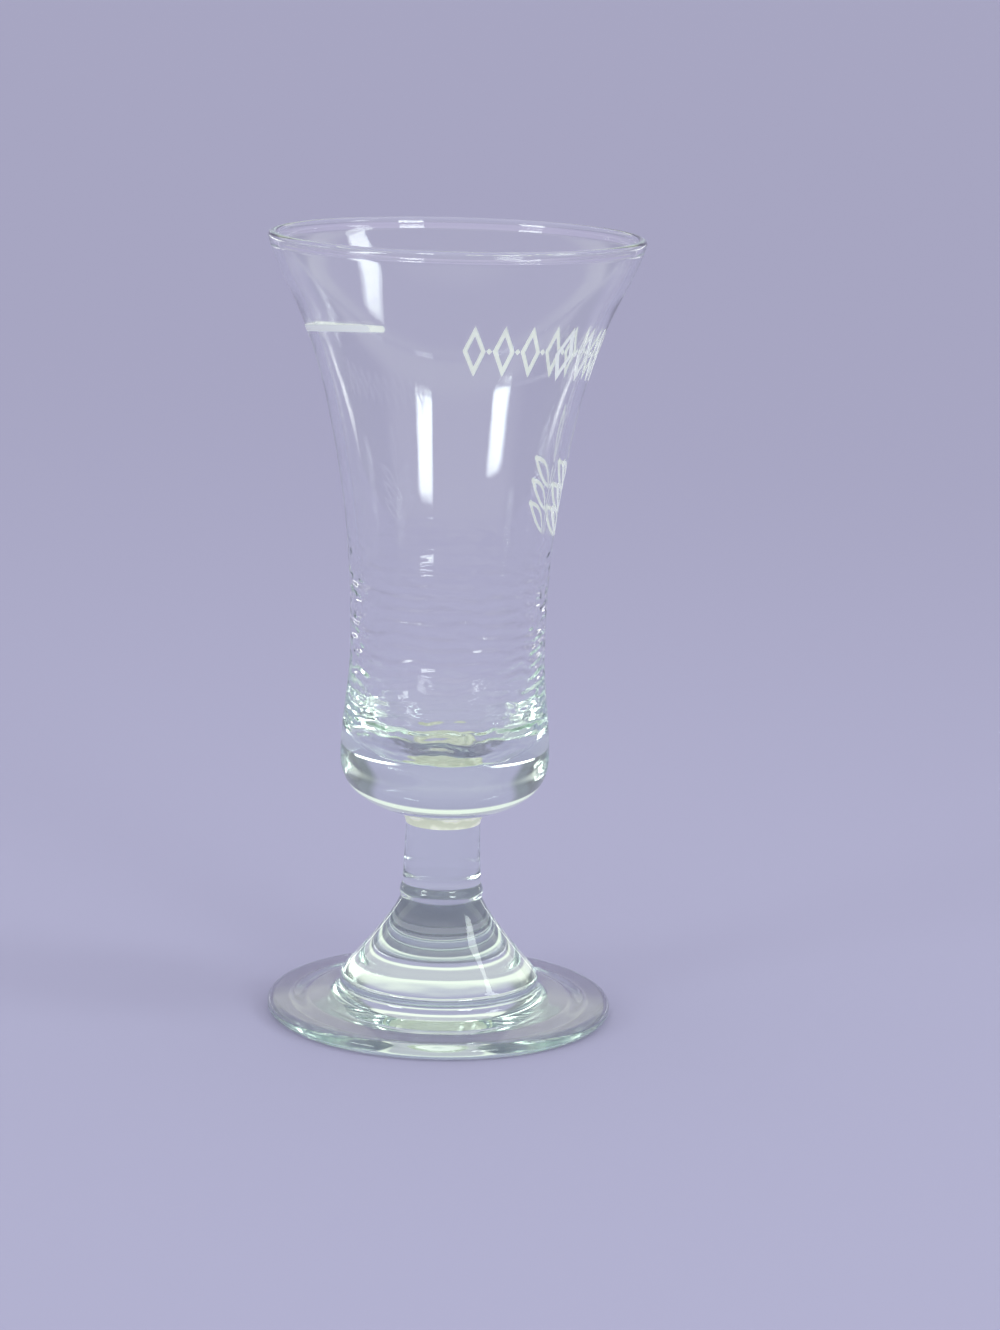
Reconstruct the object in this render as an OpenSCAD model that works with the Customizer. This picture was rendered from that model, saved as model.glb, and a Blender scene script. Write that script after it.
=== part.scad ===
// Cordial glass: a flared bowl on a short stem and a round foot, with a printed decal on the bowl.
// The origin is the centre of the foot's resting ring, and +Z is up. All lengths are in millimetres.

/* [Bowl] */
// Height of the bowl, from the seat on the collar to the top of the lip
bowl_h = 84.6; // [76.6:0.5:96.6]
// Diameter across the lip
rim_d = 54; // [51:0.5:58]
// Diameter of the round bead that closes the lip
lip_bead_d = 1.5; // [1.4:0.1:2]
// Diameter of the belly, where the solid base is widest
belly_d = 30.6; // [29:0.2:34]
// Height of the belly above the seat
belly_up = 8.8; // [7:0.1:10]
// Rise of the coned part of the base round the seat
base_cone_h = 1.4; // [0:0.1:2]
// Diameter of the waist above the belly
waist_d = 28.4; // [27:0.2:30]
// Height of the waist above the seat
waist_up = 24.1; // [20.6:0.5:27.6]
// Diameter of the throat, where the wall starts to open
throat_d = 32.6; // [31:0.2:36]
// Height of the throat above the seat
throat_up = 50.6; // [44.6:0.5:54.6]
// Radius lost between the lip and the flare below it
flare_in = 3.05; // [1.5:0.05:3.8]
// Drop from the lip to the flare
flare_down = 8; // [6:0.5:10]
// Wall at the waist, measured level
waist_wall = 1.5; // [1:0.1:2.5]
// Wall below the lip, measured level
rim_wall = 1.2; // [0.9:0.1:1.6]
// Height of the inner floor above the seat
floor_up = 8.5; // [6.5:0.2:9.3]
// Level width of the egg-shaped curve between the inner floor and the wall
bottom_w = 8; // [5:0.2:9.4]
// Height of that curve
bottom_h = 11; // [7:0.2:11.2]

/* [Collar] */
// Diameter of the seat between the bowl and the collar
seat_d = 12.4; // [11.6:0.2:14]
// Height of the collar of fused glass under the bowl
collar_h = 1.6; // [1.2:0.1:3.6]

/* [Stem] */
// Diameter of the stem at its top
stem_top_d = 11; // [9:0.1:11.5]
// Diameter of the stem where it joins the foot
stem_foot_d = 12; // [11:0.1:14]
// Length of the stem
stem_l = 11.4; // [6:0.2:60]

/* [Foot] */
// Diameter of the foot
foot_d = 50.8; // [46:0.2:60]
// Height of the foot, from the table to the stem
foot_h = 17.4; // [14:0.2:22]
// Thickness of the foot's round edge
edge_t = 2.3; // [1.6:0.1:2.6]
// Height of the disc's top where it meets the shoulder
disc_in_h = 3; // [2.6:0.1:3.2]
// Diameter of the shoulder under the cone
shoulder_d = 29.2; // [26:0.2:36]
// Height of the shoulder's widest line above the table
shoulder_h = 5.3; // [5.1:0.1:6.5]
// Radius of the shoulder's upper edge
shoulder_round = 1.4; // [0.4:0.1:1.8]
// Radius of the cove between the shoulder and the disc
cove_r = 1.8; // [0.5:0.1:1.9]
// Width of the flat ring that rests on the table
rest_w = 2.2; // [1:0.1:4]
// Width of the slope inside the resting ring
kick_w = 3; // [1:0.1:6]
// Height of the hollow under the foot
kick_h = 0.6; // [0.3:0.1:1.2]

/* [Decal] */
// Thickness of the enamel
enamel_t = 0.06; // [0.04:0.01:0.2]
// Lean of the whole decal out of level, in degrees
decal_lean = 7; // [0:0.5:9]
// Drop from the lip to the fill line
line_down = 14; // [12:0.5:24]
// Breadth of the fill line
line_w = 0.95; // [0.5:0.05:1.5]
// Half of the angle that the fill line spans, in degrees
line_half_a = 58; // [20:1:70]
// Drop from the lip to the frieze's middle
frieze_down = 16.8; // [14:0.2:24]
// Number of lozenges in the frieze
lozenges = 10; // [4:1:14]
// Distance between lozenges along the wall
lozenge_pitch = 4.9; // [4.6:0.1:6]
// Width of a lozenge
lozenge_w = 3.6; // [2.5:0.1:3.8]
// Height of a lozenge
lozenge_h = 7.4; // [5:0.1:9]
// Breadth of the lozenge's line
lozenge_line = 0.62; // [0.4:0.02:0.7]
// Diameter of the dots between the lozenges
dot_d = 0.9; // [0.5:0.05:1]
// Drop from the lip to the sprig's middle
sprig_down = 33.8; // [31:0.2:40]
// Height of the sprig
sprig_h = 18.6; // [15:0.2:20]
// Length of a leaf
leaf_l = 8.4; // [6:0.1:9]
// Share of the room between two leaves that a leaf's breadth takes
leaf_fill_share = 0.9; // [0.7:0.05:0.95]
// Gap between a leaf and the stalk
leaf_gap = 0.35; // [0.2:0.05:0.6]
// Breadth of the sprig's lines
sprig_line = 0.55; // [0.35:0.05:0.7]

/* [Hidden] */
$fn = 96;

// Steps in each curved stretch of a profile
curve_steps = 12;
arc_steps = 8;
bead_steps = 10;
round_steps = 6;

// Slopes of the profiles, as radius gained for each unit of height
throat_slope = 0.177;
flare_slope = 0.515;
rim_slope = 0.27;
collar_slope = 0.5;
stem_slope = -0.09;
cone_top_slope = -0.45;
cone_slope = -0.85;
// Roundness of the base under the belly: 2 is an ellipse, more is fuller
base_power = 2.4;

// Spare height of the skin that a printed figure is cut from
print_spare = 1;

// Angles of the frieze's and the sprig's middles round the glass
frieze_a = 19;
sprig_a = 8;
// Pairs of leaves, and the angle at which they leave the stalk
leaf_pairs = 3;
leaf_a = 32;
// Length of the stalk up to the top leaf, and the breadth of a leaf
stalk_h = sprig_h - leaf_l - leaf_gap;
leaf_w = leaf_fill_share * stalk_h / leaf_pairs * cos(leaf_a);

// Heights of the joints above the table
stem_z = foot_h;
collar_z = stem_z + stem_l;
seat_z = collar_z + collar_h;
belly_z = seat_z + belly_up;
waist_z = seat_z + waist_up;
throat_z = seat_z + throat_up;
rim_z = seat_z + bowl_h;
flare_z = rim_z - flare_down;
bead_z = rim_z - lip_bead_d / 2;
floor_z = seat_z + floor_up;

// Radius at height z on a smooth curve through two stations, each [height, radius, slope]
function curve_r(z, a, b) =
    let (l = b[0] - a[0])
    let (t = (z - a[0]) / l)
    a[1] * (2 * pow(t, 3) - 3 * pow(t, 2) + 1)
    + a[2] * l * (pow(t, 3) - 2 * pow(t, 2) + t)
    + b[1] * (3 * pow(t, 2) - 2 * pow(t, 3))
    + b[2] * l * (pow(t, 3) - pow(t, 2));

// Points [radius, height] on that curve from a to b, without the first
function curve_points(a, b, steps) = [
    for (i = [1 : steps])
        let (z = a[0] + (b[0] - a[0]) * i / steps)
        [curve_r(z, a, b), z]
];

// Points on an arc about the centre c, from one angle to another
function arc_points(c, r, from_a, to_a, steps) = [
    for (i = [0 : steps])
        let (a = from_a + (to_a - from_a) * i / steps)
        [c[0] + r * cos(a), c[1] + r * sin(a)]
];

// Stations of the bowl's outside, each [height, radius, slope]
belly = [belly_z, belly_d / 2, 0];
waist = [waist_z, waist_d / 2, 0];
throat = [throat_z, throat_d / 2, throat_slope];
flare = [flare_z, rim_d / 2 - flare_in, flare_slope];
rim = [bead_z, rim_d / 2, rim_slope];

// The full round base, from the seat up to the belly
base_points = [
    for (i = [0 : arc_steps * 2])
        let (a = 90 * i / (arc_steps * 2))
        let (out_share = pow(sin(a), 2 / base_power))
        let (down = (belly_up - base_cone_h) * pow(cos(a), 2 / base_power))
        [seat_d / 2 + (belly_d - seat_d) / 2 * out_share, belly_z - down - base_cone_h * pow(1 - out_share, 2)]
];

// The outer wall from the belly to the lip
wall_points = concat(
    [[belly[1], belly[0]]],
    curve_points(belly, waist, curve_steps),
    curve_points(waist, throat, curve_steps),
    curve_points(throat, flare, curve_steps),
    curve_points(flare, rim, round_steps)
);

// Radius of the outer wall at a height, on the same straight steps
wall_table = [for (p = wall_points) [p[1], p[0]]];
function wall_r(z) = lookup(z, wall_table);

// Thickness of the wall at a height
function wall_t(z) = lookup(z, [[waist_z, waist_wall], [bead_z, rim_wall]]);

// The inside, from the lip down to the floor
well_r = waist_d / 2 - waist_wall;
inner_top_z = bead_z - lip_bead_d / 2;
inner_points = concat(
    [[wall_r(inner_top_z) - wall_t(inner_top_z), inner_top_z]],
    [
        for (i = [len(wall_points) - 1 : -1 : 0])
            let (p = wall_points[i])
            if (p[1] < inner_top_z && p[1] > waist_z)
                [p[0] - wall_t(p[1]), p[1]]
    ],
    [[well_r, waist_z]],
    [
        for (i = [0 : curve_steps])
            let (a = 90 * i / curve_steps)
            [well_r - bottom_w * (1 - cos(a)), floor_z + bottom_h * (1 - sin(a))]
    ],
    [[0, floor_z]]
);

lip_points = arc_points([(rim_d - lip_bead_d) / 2, bead_z], lip_bead_d / 2, 0, 180, bead_steps);

// Points of a smooth slope between two levels, used under the foot
function ease(t) = (1 - cos(180 * t)) / 2;

// Outline of the foot, from the middle of the underside round the edge to the stem
edge_r = edge_t / 2;
rest_out_r = foot_d / 2 - edge_r;
rest_in_r = rest_out_r - rest_w;
shoulder_r = shoulder_d / 2;
shoulder_a = atan(-cone_slope);
cone_foot_r = shoulder_r - shoulder_round * (1 - cos(shoulder_a));
cone_foot_z = shoulder_h + shoulder_round * sin(shoulder_a);
foot_points = concat(
    [[0, kick_h]],
    [
        for (i = [0 : arc_steps])
            let (t = i / arc_steps)
            [rest_in_r - kick_w * (1 - t), kick_h * (1 - ease(t))]
    ],
    arc_points([rest_out_r, edge_r], edge_r, -90, 90, bead_steps),
    arc_points([shoulder_r + cove_r, disc_in_h + cove_r], cove_r, 270, 180, round_steps),
    arc_points([shoulder_r - shoulder_round, shoulder_h], shoulder_round, 0, shoulder_a, round_steps),
    curve_points(
        [cone_foot_z, cone_foot_r, cone_slope],
        [stem_z, stem_foot_d / 2, cone_top_slope],
        curve_steps
    ),
    [[0, stem_z]]
);

module foot() {
    color([0.80, 0.88, 0.84, 0.6])
        rotate_extrude()
            polygon(foot_points);
}

module stem() {
    profile = concat(
        [[0, stem_z], [stem_foot_d / 2, stem_z]],
        curve_points([stem_z, stem_foot_d / 2, stem_slope], [collar_z, stem_top_d / 2, 0], curve_steps),
        [[0, collar_z]]
    );
    color([0.84, 0.90, 0.88, 0.6])
        rotate_extrude()
            polygon(profile);
}

module joint_collar() {
    profile = concat(
        [[0, collar_z], [stem_top_d / 2, collar_z]],
        curve_points([collar_z, stem_top_d / 2, 0], [seat_z, seat_d / 2, collar_slope], arc_steps),
        [[0, seat_z]]
    );
    color([0.86, 0.90, 0.74, 0.7])
        rotate_extrude()
            polygon(profile);
}

module bowl() {
    wall_above_belly = [for (i = [1 : len(wall_points) - 2]) wall_points[i]];
    profile = concat(
        [[0, seat_z]],
        base_points,
        wall_above_belly,
        lip_points,
        inner_points
    );
    color([0.82, 0.89, 0.90, 0.5])
        rotate_extrude()
            polygon(profile);
}

// A skin of enamel on the outer wall between two heights
module enamel_skin(low_z, high_z) {
    inside = concat(
        [[wall_r(low_z), low_z]],
        [for (p = wall_points) if (p[1] > low_z && p[1] < high_z) p],
        [[wall_r(high_z), high_z]]
    );
    outside = [
        for (i = [len(inside) - 1 : -1 : 0])
            [inside[i][0] + enamel_t, inside[i][1]]
    ];
    rotate_extrude()
        polygon(concat(inside, outside));
}

// Places children in the decal's own level, about a middle height
module in_decal(middle_z) {
    translate([0, 0, middle_z])
        rotate([-decal_lean, 0, 0])
            children();
}

// Projects a flat figure straight outwards at an angle round the glass
module project_at(a) {
    rotate([0, 0, a])
        rotate([90, 0, 90])
            linear_extrude(height = rim_d)
                children();
}

// Height that a leaning figure can reach above or below its middle
function reach(h) = h / 2 + rim_d / 2 * sin(decal_lean);

// Cuts a flat figure of height h from the enamel skin at an angle round the glass
module print_at(middle_z, a, h) {
    here_z = middle_z - wall_r(middle_z) * sin(a) * sin(decal_lean);
    low_z = here_z - h / 2 - print_spare;
    high_z = min(here_z + h / 2 + print_spare, bead_z);
    intersection() {
        enamel_skin(low_z, high_z);
        in_decal(middle_z)
            project_at(a)
                children();
    }
}

module fill_line() {
    middle_z = rim_z - line_down;
    span = reach(line_w);
    sector = concat(
        [[0, 0]],
        [
            for (i = [-2 : 2])
                let (a = 180 + line_half_a * i / 2)
                [rim_d * cos(a), rim_d * sin(a)]
        ]
    );
    color([0.94, 0.97, 0.92])
        intersection() {
            enamel_skin(middle_z - span, min(middle_z + span, bead_z));
            in_decal(middle_z)
                translate([0, 0, -line_w / 2])
                    linear_extrude(height = line_w)
                        polygon(sector);
        }
}

// Flat outline of one lozenge
module lozenge() {
    w = lozenge_w / 2;
    h = lozenge_h / 2;
    inner_share = 1 - lozenge_line * norm([w, h]) / (w * h);
    difference() {
        polygon([[w, 0], [0, h], [-w, 0], [0, -h]]);
        polygon(inner_share * [[w, 0], [0, h], [-w, 0], [0, -h]]);
    }
}

module enamel_frieze() {
    middle_z = rim_z - frieze_down;
    pitch_a = lozenge_pitch / wall_r(middle_z) * 180 / PI;
    start_a = frieze_a - pitch_a * (lozenges - 1) / 2;
    color([0.94, 0.97, 0.92]) {
        for (i = [0 : lozenges - 1])
            print_at(middle_z, start_a + pitch_a * i, lozenge_h)
                lozenge();
        for (i = [0 : lozenges - 2])
            print_at(middle_z, start_a + pitch_a * (i + 0.5), dot_d)
                rotate(45)
                    square(dot_d * sqrt(0.5), center = true);
    }
}

// Flat outline of one leaf that starts at the origin and points along +X
module leaf() {
    r = (pow(leaf_l / 2, 2) + pow(leaf_w / 2, 2)) / leaf_w;
    up = r - leaf_w / 2;
    difference() {
        intersection() {
            translate([leaf_l / 2, up])
                circle(r = r);
            translate([leaf_l / 2, -up])
                circle(r = r);
        }
        intersection() {
            translate([leaf_l / 2, up])
                circle(r = r - sprig_line);
            translate([leaf_l / 2, -up])
                circle(r = r - sprig_line);
        }
    }
}

module enamel_sprig() {
    middle_z = rim_z - sprig_down;
    color([0.94, 0.97, 0.92])
        print_at(middle_z, sprig_a, sprig_h) {
            translate([-sprig_line / 2, -sprig_h / 2])
                square([sprig_line, stalk_h]);
            translate([0, sprig_h / 2 - leaf_l])
                rotate(90)
                    leaf();
            for (i = [0 : leaf_pairs - 1])
                for (side = [0, 1])
                    mirror([side, 0])
                        translate([sprig_line / 2 + leaf_gap, -sprig_h / 2 + stalk_h * i / leaf_pairs])
                            rotate(leaf_a)
                                leaf();
        }
}

foot();
stem();
joint_collar();
bowl();
fill_line();
enamel_frieze();
enamel_sprig();
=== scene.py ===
# %% [markdown]
# A cordial glass
#
# This lesson dresses a small stemmed glass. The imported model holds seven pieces: the foot, the stem, the
# collar of fused glass, the bowl, and three prints in white enamel. Clear glass shows every facet,
# because each face bends the light, so all the glass is turned afresh here with many more steps round
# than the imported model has, on the same curves. The prints are then laid on the new wall.

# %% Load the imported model
import math

import bmesh
import bpy
from mathutils import Matrix, Vector, noise


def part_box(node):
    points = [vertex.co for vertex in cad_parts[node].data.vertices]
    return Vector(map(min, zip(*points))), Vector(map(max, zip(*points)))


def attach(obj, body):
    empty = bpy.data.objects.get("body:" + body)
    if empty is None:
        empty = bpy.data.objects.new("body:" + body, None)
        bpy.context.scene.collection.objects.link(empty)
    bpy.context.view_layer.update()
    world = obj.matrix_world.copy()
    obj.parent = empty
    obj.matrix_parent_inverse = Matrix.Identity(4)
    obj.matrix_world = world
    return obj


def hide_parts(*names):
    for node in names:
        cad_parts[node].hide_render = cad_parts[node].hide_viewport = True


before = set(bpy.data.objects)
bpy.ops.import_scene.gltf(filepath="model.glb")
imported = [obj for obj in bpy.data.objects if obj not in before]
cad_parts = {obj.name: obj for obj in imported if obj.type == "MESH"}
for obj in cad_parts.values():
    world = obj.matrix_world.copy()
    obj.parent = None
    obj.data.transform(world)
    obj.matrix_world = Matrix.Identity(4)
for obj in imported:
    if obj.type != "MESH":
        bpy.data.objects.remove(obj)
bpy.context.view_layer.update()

mm = 0.001

# %% [markdown]
# The camera
#
# The photograph looks down on the glass from a little above the lip, from about half a metre, through a
# long lens. The glass leans a hair to the right in it, which is the camera's roll and not the glass. The
# numbers below were fitted to the ellipses of the lip, the stem and the foot. The lens is worked out from
# the focal length in picture rows, so that it holds at any picture size. Light goes to and fro inside
# thick glass many times, so the paths may be longer than usual.

# %% Place the camera
glass_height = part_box("bowl")[1][2]
camera_back = 530.0 * mm
camera_above_lip = 49.3 * mm
camera_pitch = math.radians(11.917)
camera_roll = math.radians(1.627)
camera_yaw = math.radians(0.835)
focal_rows = 3715.9
picture_rows = 1330
film_height = 36.0
nearest_seen = 0.01
light_bounces = 32


def place_camera():
    cos_pitch = math.cos(camera_pitch)
    ahead = Vector((
        math.sin(camera_yaw) * cos_pitch,
        math.cos(camera_yaw) * cos_pitch,
        -math.sin(camera_pitch),
    ))
    level_right = Vector((math.cos(camera_yaw), -math.sin(camera_yaw), 0.0))
    level_up = level_right.cross(ahead)
    right = level_right * math.cos(camera_roll) + level_up * math.sin(camera_roll)
    up = level_up * math.cos(camera_roll) - level_right * math.sin(camera_roll)
    turn = Matrix((right, up, -ahead)).transposed().to_4x4()
    data = bpy.data.cameras.new("photo_camera")
    data.sensor_fit = "VERTICAL"
    data.sensor_height = film_height
    data.lens = focal_rows * film_height / picture_rows
    data.clip_start = nearest_seen
    camera = bpy.data.objects.new("photo_camera", data)
    place = Vector((0.0, -camera_back, glass_height + camera_above_lip))
    camera.matrix_world = Matrix.Translation(place) @ turn
    bpy.context.scene.collection.objects.link(camera)
    return camera


bpy.context.scene.camera = place_camera()
bpy.context.scene.view_settings.view_transform = "Standard"
for kind in ("max_bounces", "glossy_bounces", "transmission_bounces", "transparent_max_bounces"):
    setattr(bpy.context.scene.cycles, kind, light_bounces)
print("lens", round(bpy.context.scene.camera.data.lens, 1), "mm")

# %% [markdown]
# The studio
#
# Glass is drawn by what it reflects and bends, so the studio matters as much as the material. The floor
# is one plain pale sheet. The camera sees the room in the colour of the floor's far end, so that no
# horizon shows. A bright strip runs round the room above the backdrop: the cone and the disc of the foot
# turn it towards the camera as pale bands. Above it comes a greyer strip, and then the bright ceiling,
# which gives the soft light. A low bright panel stands on each side of the backdrop, outside the picture:
# the wrinkled wall of the well turns its light towards the camera, and that makes it glitter. The outer
# part of the wall over the panels is shaded, and beside them the room is dim, which draws the dark lines
# at the edges of the glass. Behind the camera it is plain and light again.

# %% Helpers for nodes
def set_inputs(node, **values):
    """Sets sockets by name, with _ for each space."""
    for name, value in values.items():
        node.inputs[name.replace("_", " ")].default_value = value


def new_material(name):
    """A fresh material with one Principled surface. It comes with its nodes, links, surface and output."""
    material = bpy.data.materials.new(name)
    material.use_nodes = True
    nodes, links = material.node_tree.nodes, material.node_tree.links
    nodes.clear()
    surface = nodes.new("ShaderNodeBsdfPrincipled")
    output = nodes.new("ShaderNodeOutputMaterial")
    links.new(surface.outputs["BSDF"], output.inputs["Surface"])
    return material, nodes, links, surface, output


def object_noise(nodes, links, stretch=1.0, **values):
    """A noise that is fixed to the object, drawn out upwards by the stretch."""
    place = nodes.new("ShaderNodeTexCoord")
    drawn_out = nodes.new("ShaderNodeMapping")
    set_inputs(drawn_out, Scale=(1.0, 1.0, 1.0 / stretch))
    links.new(place.outputs["Object"], drawn_out.inputs["Vector"])
    texture = nodes.new("ShaderNodeTexNoise")
    set_inputs(texture, **values)
    links.new(drawn_out.outputs["Vector"], texture.inputs["Vector"])
    return texture.outputs["Fac"]


def map_to(nodes, links, value, socket, **limits):
    """Leads a value to a socket, carried over from one pair of limits to another."""
    step = nodes.new("ShaderNodeMapRange")
    set_inputs(step, **limits)
    links.new(value, step.inputs["Value"])
    links.new(step.outputs["Result"], socket)


def add_bump(nodes, links, height, surface, strength, distance):
    """Makes a surface look uneven by a height, without moving any point."""
    bump = nodes.new("ShaderNodeBump")
    set_inputs(bump, Strength=strength, Distance=distance)
    links.new(height, bump.inputs["Height"])
    links.new(bump.outputs["Normal"], surface.inputs["Normal"])


def face_mark(nodes, name):
    """The number that each face carries under this name."""
    mark = nodes.new("ShaderNodeAttribute")
    mark.attribute_name = name
    return mark.outputs["Fac"]


def multiply(nodes, links, value, other):
    """A value times another one, or times a plain number."""
    product = nodes.new("ShaderNodeMath")
    product.operation = "MULTIPLY"
    links.new(value, product.inputs[0])
    if isinstance(other, float):
        product.inputs[1].default_value = other
    else:
        links.new(other, product.inputs[1])
    return product.outputs["Value"]


def blend(nodes, links, factor, low, high):
    """Mixes two colours, or a colour and an earlier mix, by a factor."""
    mix = nodes.new("ShaderNodeMix")
    mix.data_type = "RGBA"
    links.new(factor, mix.inputs["Factor"])
    for name, value in (("A", low), ("B", high)):
        socket = [i for i in mix.inputs if i.name == name and i.type == "RGBA"][0]
        if isinstance(value, tuple):
            socket.default_value = value
        else:
            links.new(value, socket)
    return [o for o in mix.outputs if o.type == "RGBA"][0]


def ramp(nodes, links, value, span):
    """A smooth step from 0 to 1 as the value goes through the span."""
    step = nodes.new("ShaderNodeMapRange")
    step.interpolation_type = "SMOOTHSTEP"
    set_inputs(step, From_Min=span[0], From_Max=span[1])
    links.new(value, step.inputs["Value"])
    return step.outputs["Result"]


# %% The floor
floor_size = 16.0
floor_tone = (0.45, 0.43, 0.62, 1.0)


def add_floor():
    """A plain sheet under the glass."""
    material, _, _, surface, _ = new_material("pale_floor")
    set_inputs(surface, Base_Color=floor_tone, Roughness=0.85, Specular_IOR_Level=0.2)
    bpy.ops.object.select_all(action="DESELECT")
    bpy.ops.mesh.primitive_plane_add(size=floor_size, location=(0.0, 0.0, 0.0))
    floor = bpy.context.object
    floor.name = "studio_floor"
    floor.data.materials.append(material)


add_floor()
print("floor", floor_size, "m")

# %% [markdown]
# The room is painted by direction. Each span below says where one tone gives way to the next, measured
# forwards (the Y of the direction, 1 straight ahead of the camera) or upwards (its Z, 0 level and 1
# overhead).

# %% The room
far_floor_tone = (0.386, 0.380, 0.535, 1.0)
ceiling_tone = (1.03, 1.06, 1.03, 1.0)
strip_tone = (1.02, 1.08, 0.98, 1.0)
grey_tone = (0.58, 0.58, 0.66, 1.0)
dim_tone = (0.20, 0.21, 0.23, 1.0)
shade_tone = (0.25, 0.27, 0.31, 1.0)
room_tone = (0.75, 0.76, 0.76, 1.0)
panel_tone = (3.6, 3.8, 3.5, 1.0)
dim_from = (-0.5, -0.15)
panel_from = (0.64, 0.7)
shade_until = (0.76, 0.84)
backdrop_from = (0.9, 0.96)
panel_until = (0.015, 0.035)
strip_from = (0.265, 0.315)
strip_until = (0.40, 0.45)
ceiling_from = (0.66, 0.8)


def add_room():
    """Paints the room, each tone over the ones before, and counts its nodes."""
    world = bpy.data.worlds.new("room")
    world.use_nodes = True
    bpy.context.scene.world = world
    nodes = world.node_tree.nodes
    links = world.node_tree.links
    nodes.clear()
    place = nodes.new("ShaderNodeTexCoord")
    axes = nodes.new("ShaderNodeSeparateXYZ")
    links.new(place.outputs["Generated"], axes.inputs["Vector"])
    forward, upward = axes.outputs["Y"], axes.outputs["Z"]
    shade = blend(nodes, links, ramp(nodes, links, forward, shade_until), shade_tone, floor_tone)
    panel = blend(nodes, links, ramp(nodes, links, upward, panel_until), panel_tone, shade)
    room = blend(nodes, links, ramp(nodes, links, forward, dim_from), room_tone, dim_tone)
    room = blend(nodes, links, ramp(nodes, links, forward, panel_from), room, panel)
    room = blend(nodes, links, ramp(nodes, links, forward, backdrop_from), room, floor_tone)
    room = blend(nodes, links, ramp(nodes, links, upward, strip_from), room, strip_tone)
    room = blend(nodes, links, ramp(nodes, links, upward, strip_until), room, grey_tone)
    room = blend(nodes, links, ramp(nodes, links, upward, ceiling_from), room, ceiling_tone)
    lit = nodes.new("ShaderNodeBackground")
    links.new(room, lit.inputs["Color"])
    seen = nodes.new("ShaderNodeBackground")
    set_inputs(seen, Color=far_floor_tone)
    ray = nodes.new("ShaderNodeLightPath")
    mix = nodes.new("ShaderNodeMixShader")
    output = nodes.new("ShaderNodeOutputWorld")
    links.new(ray.outputs["Is Camera Ray"], mix.inputs["Fac"])
    links.new(lit.outputs["Background"], mix.inputs[1])
    links.new(seen.outputs["Background"], mix.inputs[2])
    links.new(mix.outputs["Shader"], output.inputs["Surface"])
    return len(nodes)


print("room nodes", add_room())

# %% Lamps
lamp_aim = Vector((0.0, 0.0, 0.6 * glass_height))
lamp_distance = 0.9
lamp_tone = (0.90, 1.0, 0.92)
lamp_fan = math.radians(60)
lamps = (
    # name, azimuth and elevation in degrees, width, height, power
    ("window_right", 31, 11.2, 0.26, 0.21, 0.19),
    ("window_left", -50, 13.2, 0.26, 0.165, 0.15),
    ("window_side", 77, 38, 0.20, 0.28, 0.13),
)


def add_window(name, azimuth, elevation, width, height, power):
    """A soft rectangular lamp whose light fans out little, so that it doesn't flood the floor beside it.

    Azimuth is measured from the camera's side, positive to the right.
    """
    a = math.radians(azimuth)
    e = math.radians(elevation)
    away = Vector((math.sin(a) * math.cos(e), -math.cos(a) * math.cos(e), math.sin(e)))
    data = bpy.data.lights.new(name, "AREA")
    data.shape = "RECTANGLE"
    data.size = width
    data.size_y = height
    data.energy = power
    data.color = lamp_tone
    data.spread = lamp_fan
    lamp = bpy.data.objects.new(name, data)
    lamp.location = lamp_aim + away * lamp_distance
    lamp.rotation_euler = (-away).to_track_quat("-Z", "Y").to_euler()
    bpy.context.scene.collection.objects.link(lamp)


for lamp in lamps:
    add_window(*lamp)
print("lamps", len(lamps))

# %% [markdown]
# Glass
#
# Soda-lime glass bends light a little more than water does, with an index near 1.52, and iron in the sand
# gives it a green tint that only shows where the light goes a long way through it. So the tint is a
# volume, and the surface has no colour. Fire-polished glass isn't quite even: a faint slow ripple in its
# surface makes the reflections wander, and a faint haze softens them. Fused glass has no surface inside
# it, so the flat faces at a joint carry a mark, and the mark turns the surface off there with the alpha
# socket. One material then bounds the whole volume.

# %% Clear glass
glass_bend = 1.52
glass_tint = (0.55, 0.93, 0.72, 1.0)
tint_density = 8.0
ripple_limits = {"From_Min": 0.35, "From_Max": 0.75}
haze_limits = {"To_Min": 0.015, "To_Max": 0.07}


def glass_material(name, ripple_scale, ripple_depth, stretch=1.0):
    """Clear glass. Its ripple has a scale and a depth, and may be drawn out upwards."""
    material, nodes, links, surface, output = new_material(name)
    set_inputs(surface, Base_Color=(1.0, 1.0, 1.0, 1.0), IOR=glass_bend, Transmission_Weight=1.0)
    ripple = object_noise(nodes, links, stretch, Scale=ripple_scale, Detail=2.0)
    add_bump(nodes, links, ripple, surface, strength=1.0, distance=ripple_depth)
    map_to(nodes, links, ripple, surface.inputs["Roughness"], **ripple_limits, **haze_limits)
    links.new(face_mark(nodes, "open_surface"), surface.inputs["Alpha"])
    body = nodes.new("ShaderNodeVolumeAbsorption")
    set_inputs(body, Color=glass_tint, Density=tint_density)
    links.new(body.outputs["Volume"], output.inputs["Volume"])
    return material


foot_glass = glass_material("foot_glass", 110.0, 0.035 * mm)
stem_glass = glass_material("stem_glass", 380.0, 0.05 * mm, stretch=8.0)
bowl_glass = glass_material("bowl_glass", 90.0, 0.02 * mm)
print("clear glass", foot_glass.name, stem_glass.name, bowl_glass.name)

# %% [markdown]
# The glass at the upper joint is full of rings of fine bubbles. It scatters light and looks cream, and it
# glows a little, in place of the lamplight that comes to it through the bowl and the stem and isn't
# traced.

# %% Cream glass of the collar
cream_shadow = (0.52, 0.56, 0.45, 1.0)
cream_light = (0.98, 0.99, 0.88, 1.0)
cream_span = (0.05, 0.4)
cream_glow_tone = (0.97, 1.0, 0.80, 1.0)
cream_glow = 0.25
bubble_depth = 0.05 * mm


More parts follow.
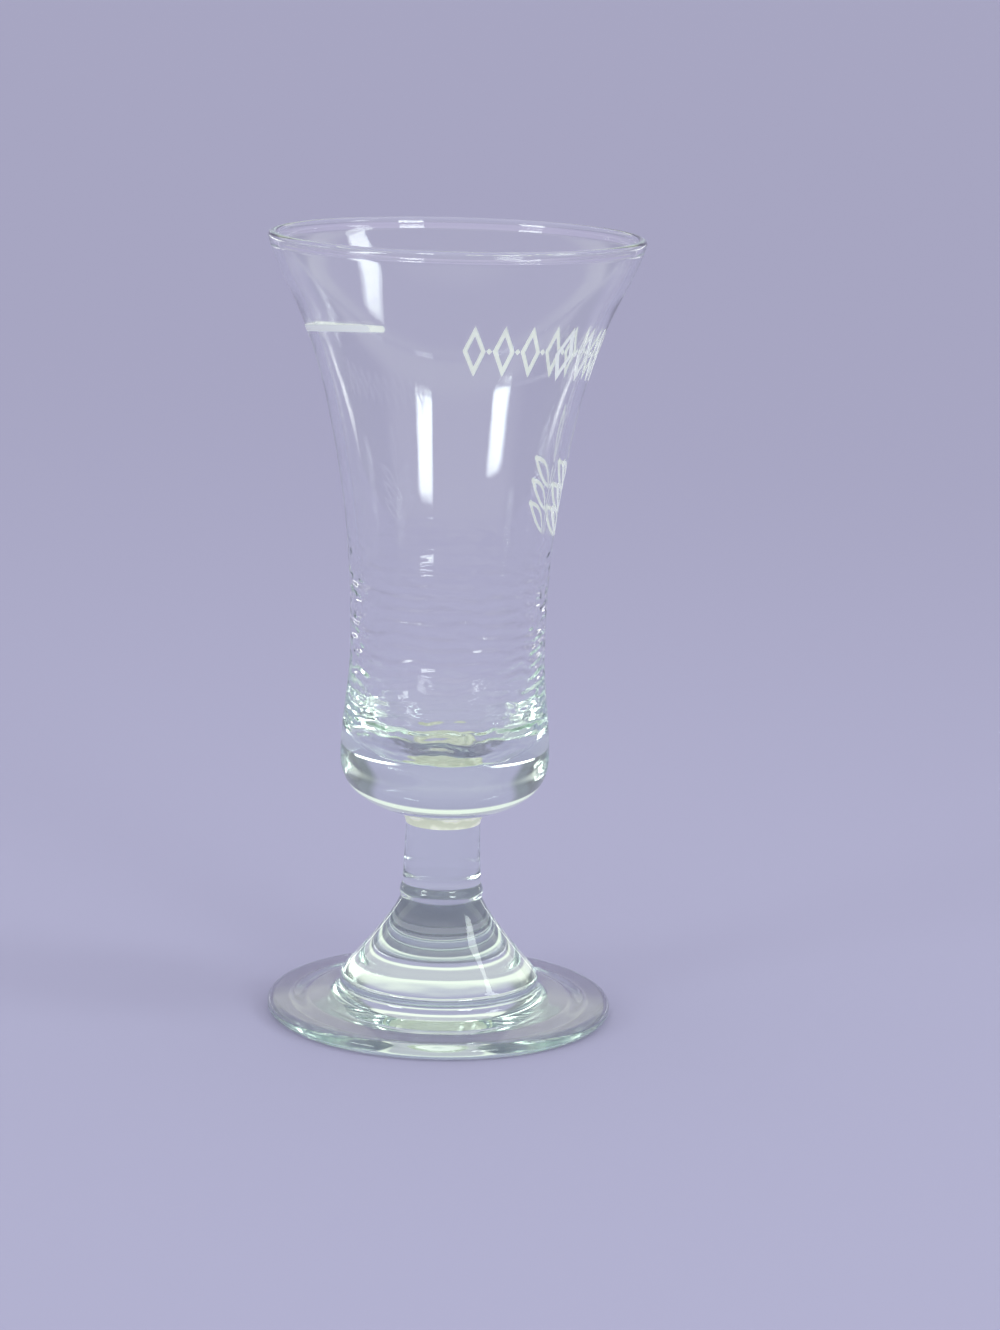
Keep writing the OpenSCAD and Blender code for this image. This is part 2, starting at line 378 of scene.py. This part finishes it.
def collar_material():
    material, nodes, links, surface, _ = new_material("collar_glass")
    set_inputs(surface, IOR=glass_bend, Transmission_Weight=0.12, Roughness=0.3)
    set_inputs(surface, Emission_Color=cream_glow_tone, Emission_Strength=cream_glow)
    bubbles = object_noise(nodes, links, Scale=900.0, Detail=4.0, Roughness=0.6)
    place = nodes.new("ShaderNodeTexCoord")
    rings = nodes.new("ShaderNodeTexWave")
    rings.wave_type = "RINGS"
    rings.rings_direction = "Z"
    set_inputs(rings, Scale=160.0, Distortion=3.0, Detail=2.0, Detail_Scale=2.0)
    links.new(place.outputs["Object"], rings.inputs["Vector"])
    cream = nodes.new("ShaderNodeValToRGB")
    shadow, light = cream.color_ramp.elements
    shadow.position, light.position = cream_span
    shadow.color, light.color = cream_shadow, cream_light
    links.new(multiply(nodes, links, bubbles, rings.outputs["Fac"]), cream.inputs["Fac"])
    links.new(cream.outputs["Color"], surface.inputs["Base Color"])
    add_bump(nodes, links, bubbles, surface, strength=1.0, distance=bubble_depth)
    links.new(face_mark(nodes, "open_surface"), surface.inputs["Alpha"])
    return material


collar_glass = collar_material()
print("cream glass", collar_glass.name)

# %% [markdown]
# Curves of the glass
#
# The outside is a chain of smooth stretches between stations. A station is a height, a radius, and a
# slope, which is the radius gained for each step up. A cubic through two stations keeps both slopes, so
# the stretches meet without a crease, as hot glass does.

# %% Heights and curves
stem_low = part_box("stem")[0][2]
stem_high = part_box("stem")[1][2]
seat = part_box("joint_collar")[1][2]
lip_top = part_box("bowl")[1][2]
lip_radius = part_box("bowl")[1][0]
foot_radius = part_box("foot")[1][0]
bead_radius = 0.75 * mm
bead_height = lip_top - bead_radius


def curve_radius(height, low, high):
    """Radius at a height on the cubic between two stations."""
    span = high[0] - low[0]
    t = (height - low[0]) / span
    return (
        low[1] * (2 * t**3 - 3 * t**2 + 1)
        + low[2] * span * (t**3 - 2 * t**2 + t)
        + high[1] * (3 * t**2 - 2 * t**3)
        + high[2] * span * (t**3 - t**2)
    )


def curve_points(low, high, steps):
    """Points (radius, height) after the low station, up to the high one."""
    heights = [low[0] + (high[0] - low[0]) * k / steps for k in range(1, steps + 1)]
    return [(curve_radius(h, low, high), h) for h in heights]


def arc_points(centre, radius, start, end, steps):
    """Points on an arc in the outline's plane, angles in degrees from outwards to up."""
    angles = [math.radians(start + (end - start) * k / steps) for k in range(steps + 1)]
    return [(centre[0] + radius * math.cos(a), centre[1] + radius * math.sin(a)) for a in angles]


belly = (seat + 8.8 * mm, 15.3 * mm, 0.0)
waist = (seat + 24.1 * mm, 14.2 * mm, 0.0)
throat = (seat + 50.6 * mm, 16.3 * mm, 0.177)
flare = (lip_top - 8.0 * mm, lip_radius - 3.05 * mm, 0.515)
rim = (bead_height, lip_radius, 0.27)
wall_stations = (belly, waist, throat, flare, rim)


def wall_radius(height):
    """Radius of the bowl's outside at a height above the belly."""
    for low, high in zip(wall_stations, wall_stations[1:]):
        if height <= high[0]:
            return curve_radius(height, low, high)
    return lip_radius


print("wall at 100 mm", round(wall_radius(0.1) / mm, 2), "mm from the axis")

# %% [markdown]
# Turning a piece
#
# A real stem or bowl is made by spinning hot glass, and the model is made the same way. One point is
# pushed along the outline by extruding it step after step, and the outline is then spun round the axis.
# Where it meets itself the doubles are merged, and only then are the normals turned outwards. At a fused
# joint the two faces stand two thousandths of a millimetre apart, so that light leaves one piece before
# it enters the next. The number of steps on each stretch of an outline is chosen so that no facet shows.

# %% Helper: turn an outline on the lathe
turn_steps = 256
merge_distance = 0.0005 * mm
flat_limit = 0.999
glass_crease = math.radians(32)
seam_slack = 0.01 * mm
fused_gap = 0.002 * mm


def turn(name, outline, material, seams=(), seam_show=0.0):
    """Spins an outline of (radius, height) points into a closed piece.

    Seams are the heights of fused flat faces, and seam_show is how much of their surface is still seen.
    """
    bpy.ops.object.select_all(action="DESELECT")
    bpy.ops.mesh.primitive_plane_add(size=mm, location=(0.0, 0.0, 0.0))
    piece = bpy.context.object
    piece.name = name
    piece.data.name = name
    bpy.ops.object.mode_set(mode="EDIT")
    bpy.ops.mesh.select_all(action="SELECT")
    bpy.ops.mesh.merge(type="CENTER")
    bpy.ops.transform.translate(value=(outline[0][0], 0.0, outline[0][1]))
    for before, after in zip(outline, outline[1:]):
        step = (after[0] - before[0], 0.0, after[1] - before[1])
        bpy.ops.mesh.extrude_region_move(TRANSFORM_OT_translate={"value": step})
    bpy.ops.mesh.select_all(action="SELECT")
    bpy.ops.mesh.spin(steps=turn_steps, angle=math.tau, center=(0.0, 0.0, 0.0), axis=(0.0, 0.0, 1.0))
    bpy.ops.mesh.select_all(action="SELECT")
    bpy.ops.mesh.remove_doubles(threshold=merge_distance)
    bpy.ops.mesh.normals_make_consistent(inside=False)
    bpy.ops.object.mode_set(mode="OBJECT")
    piece.data.materials.append(material)
    mark = piece.data.attributes.new("open_surface", "FLOAT", "FACE")
    for face in piece.data.polygons:
        flat = abs(face.normal.z) > flat_limit
        fused = flat and any(abs(face.center.z - height) < seam_slack for height in seams)
        mark.data[face.index].value = seam_show if fused else 1.0
    bpy.ops.object.shade_smooth_by_angle(angle=glass_crease)
    return piece


def describe(piece):
    """Prints whether a piece is closed, and the glass in it."""
    work = bmesh.new()
    work.from_mesh(piece.data)
    open_edges = sum(1 for edge in work.edges if not edge.is_manifold)
    volume = work.calc_volume()
    work.free()
    print(piece.name, len(piece.data.polygons), "faces,", open_edges, "open edges,",
          round(volume / mm**3), "cubic mm")


def dress(piece, node):
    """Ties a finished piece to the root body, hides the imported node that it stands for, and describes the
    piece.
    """
    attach(piece, "root")
    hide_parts(node)
    describe(piece)


# %% [markdown]
# The foot
#
# The foot is pressed in one go: a disc with a round edge that rests on a narrow ring, an upright shoulder
# that grows out of the disc by a wide cove, and a cone that rises to the stem. The cone is solid. Where
# the eye looks into it from above, the light bends at its side and again at the underside, and that draws
# the rings inside.

# %% Turn the foot
edge_radius = 1.15 * mm
rest_outer = foot_radius - edge_radius
rest_inner = rest_outer - 2.2 * mm
kick_width = 3.0 * mm
kick_height = 0.6 * mm
disc_height = 3.0 * mm
cove_radius = 1.8 * mm
shoulder_radius = 14.6 * mm
shoulder_height = 5.3 * mm
shoulder_round = 1.4 * mm
cone_slope = -0.85
cone_top_slope = -0.45
stem_foot_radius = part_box("stem")[1][0]
hollow_rings = 8
kick_steps = 16


def foot_outline():
    """From the middle of the hollow out under the foot, round its edge, and up the cone to the stem."""
    lean = math.degrees(math.atan(-cone_slope))
    shoulder_centre = (shoulder_radius - shoulder_round, shoulder_height)
    shoulder = arc_points(shoulder_centre, shoulder_round, 0, lean, steps=8)
    hollow = rest_inner - kick_width
    points = [(hollow * k / hollow_rings, kick_height) for k in range(hollow_rings)]
    for k in range(kick_steps + 1):
        t = k / kick_steps
        points.append((rest_inner - kick_width * (1 - t), kick_height * (1 + math.cos(math.pi * t)) / 2))
    points += arc_points((rest_outer, edge_radius), edge_radius, -90, 90, steps=24)
    cove_centre = (shoulder_radius + cove_radius, disc_height + cove_radius)
    points += arc_points(cove_centre, cove_radius, 270, 180, steps=12)
    points += shoulder
    cone_low = (shoulder[-1][1], shoulder[-1][0], cone_slope)
    points += curve_points(cone_low, (stem_low, stem_foot_radius, cone_top_slope), steps=32)
    points.append((0.0, stem_low))
    return points


foot = turn("glass_foot", foot_outline(), foot_glass, seams=(stem_low,))
dress(foot, "foot")

# %% [markdown]
# Stem and collar
#
# The stem is a short solid rod, a little wider towards the foot, where a faint swelling marks the weld.
# The collar is the glass that flowed out when the bowl was pressed onto the hot stem. Each meets its
# neighbour face to face.

# %% Turn the stem and the collar
stem_top_radius = 5.5 * mm
stem_foot_slope = -0.09
weld_height = 2.4 * mm
weld_swell = 0.25 * mm
seat_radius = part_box("joint_collar")[1][0]
seat_slope = 0.5


def stem_outline():
    """From the weld up to the collar, with the swelling on its way."""
    start = stem_low + fused_gap
    points = [(0.0, start), (stem_foot_radius, start)]
    low, high = (start, stem_foot_radius, stem_foot_slope), (stem_high, stem_top_radius, 0.0)
    for radius, height in curve_points(low, high, steps=72):
        t = (height - start) / weld_height
        swell = weld_swell * math.sin(math.pi * t) ** 2 if t < 1 else 0.0
        points.append((radius + swell, height))
    points.append((0.0, stem_high))
    return points


def collar_outline():
    start = stem_high + fused_gap
    points = [(0.0, start), (stem_top_radius, start)]
    points += curve_points((start, stem_top_radius, 0.0), (seat, seat_radius, seat_slope), steps=20)
    points.append((0.0, seat))
    return points


stem = turn("glass_stem", stem_outline(), stem_glass, seams=(stem_low, stem_high))
dress(stem, "stem")
collar = turn("glass_collar", collar_outline(), collar_glass, seams=(stem_high, seat), seam_show=0.6)
dress(collar, "joint_collar")

# %% [markdown]
# The bowl
#
# The bowl is one piece: a solid round base, a straight well with an egg-shaped bottom, a thin wall that
# flares, and a lip melted to a round bead. The wall thins a little towards the lip. The lower half of the
# well gets closer rows of points, because it is rippled in the next step.

# %% Turn the bowl
base_power = 2.4
base_cone = 1.4 * mm
waist_wall = 1.5 * mm
rim_wall = 1.2 * mm
floor_height = seat + 8.5 * mm
bottom_width = 8.0 * mm
bottom_rise = 11.0 * mm
well_radius = waist[1] - waist_wall
ripple_top = waist[0] + 19.0 * mm
base_steps = 40
wall_steps = (20, 28, 28, 12)
ripple_rows = 64
well_rows = 16
bottom_steps = 56
floor_rings = 16


def wall_thickness(height):
    """Thickness of the wall above the waist."""
    t = (height - waist[0]) / (rim[0] - waist[0])
    return waist_wall + (rim_wall - waist_wall) * t


def base_points(start):
    """The underside of the bowl, from the seat out to the belly."""
    points = [(0.0, start)]
    for k in range(base_steps + 1):
        a = math.radians(90 * k / base_steps)
        out = math.sin(a) ** (2 / base_power)
        down = (belly[0] - start - base_cone) * math.cos(a) ** (2 / base_power) + base_cone * (1 - out) ** 2
        points.append((seat_radius + (belly[1] - seat_radius) * out, belly[0] - down))
    return points


def well_points():
    """The well below the waist, down its side, round its bottom and in to the axis."""
    corner = (well_radius - bottom_width, floor_height + bottom_rise)
    points = [(well_radius, waist[0] + (corner[1] - waist[0]) * k / well_rows) for k in range(well_rows)]
    for k in range(bottom_steps + 1):
        a = math.radians(90 * k / bottom_steps)
        points.append((corner[0] + bottom_width * math.cos(a), corner[1] - bottom_rise * math.sin(a)))
    points += [(corner[0] * (1 - k / floor_rings), floor_height) for k in range(1, floor_rings + 1)]
    return points


def bowl_outline():
    """Up the outside, over the lip, and down the inside to the axis."""
    outside = []
    for low, high, steps in zip(wall_stations, wall_stations[1:], wall_steps):
        outside += curve_points(low, high, steps)
    points = base_points(seat + fused_gap) + outside[:-1]
    points += arc_points((lip_radius - bead_radius, bead_height), bead_radius, 0, 180, steps=20)
    top = bead_height - bead_radius
    rows = [top] + [height for _, height in reversed(outside) if ripple_top < height < top]
    rows += [ripple_top + (waist[0] - ripple_top) * k / ripple_rows for k in range(ripple_rows)]
    points += [(wall_radius(height) - wall_thickness(height), height) for height in rows]
    return points + well_points()


bowl = turn("glass_bowl", bowl_outline(), bowl_glass, seams=(seat,))

# %% [markdown]
# Chill ripples
#
# The plunger that presses the well is colder than the glass, so the skin wrinkles where it touches last:
# on the floor, round the bottom, and up the lower half of the wall. These wrinkles are what glitters in
# the real glass. Each point of the inner skin is moved along its normal. Two noises that are stretched
# level make the wrinkles run round the glass, and regular waves 1.9 mm apart show as a chain of beads
# along both sides. The move fades out upwards, is half as strong again round the bottom, and stays near a
# tenth of a millimetre. The middle of the floor lies calm.

# %% Ripple the well
ripple_depth = 0.08 * mm
wave_pitch = 1.9 * mm
wave_wander = 2.5
wave_share, long_share, short_share = 0.45, 0.8, 0.5
top_fade = 10.0 * mm
bottom_fade = 6.0 * mm
bottom_extra = 0.5
floor_share = 0.7
calm_radius = 4.0 * mm
floor_wave, floor_grain = 1.6 * mm, 0.7 * mm
grain_share = 0.5
least_wall = 0.5 * mm


def level_noise(place, size_round, size_up, shift):
    """Noise with one size round the glass and another up it. The shift keeps two noises apart."""
    around = Vector((place.x, place.y, 0.0)) / size_round
    return noise.noise(around + Vector((shift, shift, place.z / size_up)))


def well_ripple(place):
    """How far the skin of the wall and the bottom moves at a place, along its normal."""
    long_noise = level_noise(place, size_round=3.2 * mm, size_up=1.1 * mm, shift=0.0)
    short_noise = level_noise(place, size_round=1.3 * mm, size_up=0.7 * mm, shift=9.0)
    wander = wave_wander * level_noise(place, size_round=4.0 * mm, size_up=6.0 * mm, shift=5.0)
    waves = math.sin(math.tau * place.z / wave_pitch + wander)
    return long_share * long_noise + short_share * short_noise + wave_share * waves


def floor_ripple(place):
    """The same for the flat floor, where the noise has no stretch."""
    return noise.noise(place / floor_wave) + grain_share * noise.noise(place / floor_grain)


def ripple_bowl(piece):
    """Moves the points of the inner skin, and counts them."""
    moved = 0
    normals = [vertex.normal.copy() for vertex in piece.data.vertices]
    for vertex, normal in zip(piece.data.vertices, normals):
        radius, height = math.hypot(vertex.co.x, vertex.co.y), vertex.co.z
        inner = radius < wall_radius(max(height, belly[0])) - least_wall
        if not inner or not floor_height - seam_slack < height <= ripple_top:
            continue
        fade = min(1.0, (ripple_top - height) / top_fade)
        fade += bottom_extra * min(1.0, max(0.0, (floor_height + bottom_rise - height) / bottom_fade))
        if height < floor_height + seam_slack:
            fade *= min(floor_share, radius / calm_radius)
            lift = floor_ripple(vertex.co)
        else:
            lift = well_ripple(vertex.co)
        vertex.co += normal * lift * fade * ripple_depth
        moved += 1
    return moved


print("rippled points", ripple_bowl(bowl))
dress(bowl, "bowl")

# %% [markdown]
# White enamel
#
# The prints are fired enamel, a skin that stands 0.06 mm proud of the glass. Each figure is drawn flat,
# then every point of it is carried straight inwards to the wall, and the skin gets its thickness last.
# The whole decal leans about seven degrees out of level, as it does on the real glass. The side of the
# enamel that lies on the glass glows a little, in place of the lamplight that comes to it through the
# glass and isn't traced.

# %% Enamel material
enamel_tone = (0.96, 0.99, 0.94, 1.0)
enamel_glow_tone = (0.92, 1.0, 0.92, 1.0)
enamel_glow = 0.42
grain_depth = 0.01 * mm


def enamel_material():
    material, nodes, links, surface, _ = new_material("white_enamel")
    set_inputs(surface, Base_Color=enamel_tone, Emission_Color=enamel_glow_tone)
    grain = object_noise(nodes, links, Scale=1600.0, Detail=3.0)
    map_to(nodes, links, grain, surface.inputs["Roughness"], To_Min=0.3, To_Max=0.5)
    add_bump(nodes, links, grain, surface, strength=0.5, distance=grain_depth)
    glow = multiply(nodes, links, face_mark(nodes, "inner_side"), enamel_glow)
    links.new(glow, surface.inputs["Emission Strength"])
    return material


white_enamel = enamel_material()
print("enamel", white_enamel.name)

# %% Helpers: lay a flat figure on the wall
decal_lean = math.radians(7.0)
enamel_out = 0.06 * mm
enamel_in = 0.04 * mm
enamel_crease = math.radians(30)
search_steps = 40


def wall_point(angle, across, up, middle):
    """Where a point of the decal lands when it is pushed straight inwards at an angle round the glass.

    The span between a depth inside the wall and one outside it is halved again and again.
    """
    near, far = 0.0, 2 * lip_radius
    for _ in range(search_steps):
        depth = (near + far) / 2
        x = depth * math.cos(angle) - across * math.sin(angle)
        flat_y = depth * math.sin(angle) + across * math.cos(angle)
        y = flat_y * math.cos(decal_lean) + up * math.sin(decal_lean)
        z = middle - flat_y * math.sin(decal_lean) + up * math.cos(decal_lean)
        if math.hypot(x, y) > wall_radius(z):
            far = depth
        else:
            near = depth
    return Vector((x, y, z))


def lay(piece, angle, middle):
    """Carries each point of a flat figure to the wall."""
    for vertex in piece.data.vertices:
        vertex.co = wall_point(angle, vertex.co.x, vertex.co.y, middle)


def join_pieces(name, pieces):
    """Joins figures into one piece with a new name."""
    bpy.ops.object.select_all(action="DESELECT")
    for piece in pieces:
        piece.select_set(True)
    bpy.context.view_layer.objects.active = pieces[0]
    bpy.ops.object.join()
    pieces[0].name = name
    pieces[0].data.name = name
    return pieces[0]


def outwardness(face):
    """More than 0 where a face looks away from the axis, less where it looks towards it."""
    return face.normal.x * face.center.x + face.normal.y * face.center.y


def fire(piece):
    """Gives the laid figure the enamel's thickness and its material."""
    bpy.ops.object.select_all(action="DESELECT")
    piece.select_set(True)
    bpy.context.view_layer.objects.active = piece
    bpy.ops.object.mode_set(mode="EDIT")
    bpy.ops.mesh.select_all(action="SELECT")
    bpy.ops.mesh.normals_make_consistent(inside=False)
    bpy.ops.object.mode_set(mode="OBJECT")
    if sum(outwardness(face) for face in piece.data.polygons) < 0:
        piece.data.flip_normals()
    skin = piece.modifiers.new("enamel", "SOLIDIFY")
    skin.thickness = enamel_out + enamel_in
    skin.offset = (enamel_out - enamel_in) / (enamel_out + enamel_in)
    bpy.ops.object.modifier_apply(modifier=skin.name)
    piece.data.materials.append(white_enamel)
    mark = piece.data.attributes.new("inner_side", "FLOAT", "FACE")
    for face in piece.data.polygons:
        mark.data[face.index].value = 1.0 if outwardness(face) < 0 else 0.0
    bpy.ops.object.shade_smooth_by_angle(angle=enamel_crease)


# %% Lay the fill line
line_middle = lip_top - 14.0 * mm
line_half_angle = math.radians(58)
line_breadth = 0.95 * mm
end_share = 0.2


def fill_line():
    """A bar whose ends are round and keep a share of its breadth at the very tip."""
    bpy.ops.object.select_all(action="DESELECT")
    bpy.ops.mesh.primitive_grid_add(x_subdivisions=240, y_subdivisions=3, size=2.0)
    piece = bpy.context.object
    piece.name = "print_fill_line"
    length = line_half_angle * wall_radius(line_middle)
    for vertex in piece.data.vertices:
        along, up = vertex.co.x, vertex.co.y
        to_end = (1 - abs(along)) * length / (line_breadth / 2)
        plump = math.sqrt(max(1 - (1 - to_end) ** 2, end_share**2)) if to_end < 1 else 1.0
        angle = math.pi + along * line_half_angle
        vertex.co = wall_point(angle, 0.0, up * plump * line_breadth / 2, line_middle)
    fire(piece)
    return piece


dress(fill_line(), "fill_line")

# %% Lay the frieze of lozenges
frieze_middle = lip_top - 16.8 * mm
frieze_angle = math.radians(19)
lozenge_count = 10
lozenge_pitch = 4.9 * mm
lozenge_size = (3.6 * mm, 7.4 * mm)
lozenge_line = 0.62 * mm
dot_size = 0.9 * mm


def flat_lozenge(width, height, line):
    """A lozenge drawn flat, as a line, or filled where the line is 0."""
    bpy.ops.object.select_all(action="DESELECT")
    bpy.ops.mesh.primitive_circle_add(vertices=4, radius=1.0, fill_type="NGON")
    piece = bpy.context.object
    for vertex in piece.data.vertices:
        vertex.co = Vector((vertex.co.x * width / 2, vertex.co.y * height / 2, 0.0))
    bpy.ops.object.mode_set(mode="EDIT")
    bpy.ops.mesh.select_all(action="SELECT")
    if line:
        bpy.ops.mesh.inset(thickness=line)
        bpy.ops.mesh.delete(type="FACE")
        bpy.ops.mesh.select_all(action="SELECT")
        bpy.ops.mesh.subdivide(number_cuts=5)
    bpy.ops.object.mode_set(mode="OBJECT")
    return piece


def frieze():
    pitch_angle = lozenge_pitch / wall_radius(frieze_middle)
    start = frieze_angle - pitch_angle * (lozenge_count - 1) / 2
    pieces = []
    for k in range(lozenge_count):
        figure = flat_lozenge(*lozenge_size, lozenge_line)
        lay(figure, start + pitch_angle * k, frieze_middle)
        pieces.append(figure)
    for k in range(lozenge_count - 1):
        figure = flat_lozenge(dot_size, dot_size, 0.0)
        lay(figure, start + pitch_angle * (k + 0.5), frieze_middle)
        pieces.append(figure)
    piece = join_pieces("print_frieze", pieces)
    fire(piece)
    return piece


dress(frieze(), "enamel_frieze")

# %% Lay the sprig
sprig_middle = lip_top - 33.8 * mm
sprig_angle = math.radians(8)
sprig_height = 18.6 * mm
leaf_length = 8.4 * mm
leaf_gap = 0.35 * mm
leaf_angle = math.radians(32)
leaf_pairs = 3
leaf_fill = 0.9
sprig_line = 0.55 * mm
stalk_length = sprig_height - leaf_length - leaf_gap
leaf_breadth = leaf_fill * stalk_length / leaf_pairs * math.cos(leaf_angle)
leaf_arc = (leaf_length**2 + leaf_breadth**2) / (4 * leaf_breadth)
tip_slack = 0.001


def flat_leaf(root, angle):
    """A pointed leaf drawn as a line. A circle becomes a leaf when each half is laid on a flatter arc."""
    bpy.ops.object.select_all(action="DESELECT")
    bpy.ops.mesh.primitive_circle_add(vertices=48, radius=1.0, fill_type="NGON")
    piece = bpy.context.object
    for vertex in piece.data.vertices:
        x = vertex.co.x * leaf_length / 2
        half = math.sqrt(leaf_arc**2 - x**2) - leaf_arc + leaf_breadth / 2
        side = 0.0 if abs(vertex.co.y) < tip_slack else math.copysign(half, vertex.co.y)
        vertex.co = Vector((leaf_length / 2 + x, side, 0.0))
    bpy.ops.object.mode_set(mode="EDIT")
    bpy.ops.mesh.select_all(action="SELECT")
    bpy.ops.mesh.inset(thickness=sprig_line)
    bpy.ops.mesh.delete(type="FACE")
    bpy.ops.object.mode_set(mode="OBJECT")
    piece.data.transform(Matrix.Translation((*root, 0.0)) @ Matrix.Rotation(angle, 4, "Z"))
    return piece


def flat_stalk():
    bpy.ops.object.select_all(action="DESELECT")
    bpy.ops.mesh.primitive_grid_add(x_subdivisions=2, y_subdivisions=24, size=2.0)
    piece = bpy.context.object
    for vertex in piece.data.vertices:
        vertex.co = Vector((
            vertex.co.x * sprig_line / 2,
            -sprig_height / 2 + (vertex.co.y + 1) * stalk_length / 2,
            0.0,
        ))
    return piece


def sprig():
    pieces = [flat_stalk()]
    pieces.append(flat_leaf((0.0, sprig_height / 2 - leaf_length), math.pi / 2))
    out = sprig_line / 2 + leaf_gap
    for k in range(leaf_pairs):
        root_up = -sprig_height / 2 + stalk_length * k / leaf_pairs
        pieces.append(flat_leaf((out, root_up), leaf_angle))
        pieces.append(flat_leaf((-out, root_up), math.pi - leaf_angle))
    for figure in pieces:
        lay(figure, sprig_angle, sprig_middle)
    piece = join_pieces("print_sprig", pieces)
    fire(piece)
    return piece


dress(sprig(), "enamel_sprig")
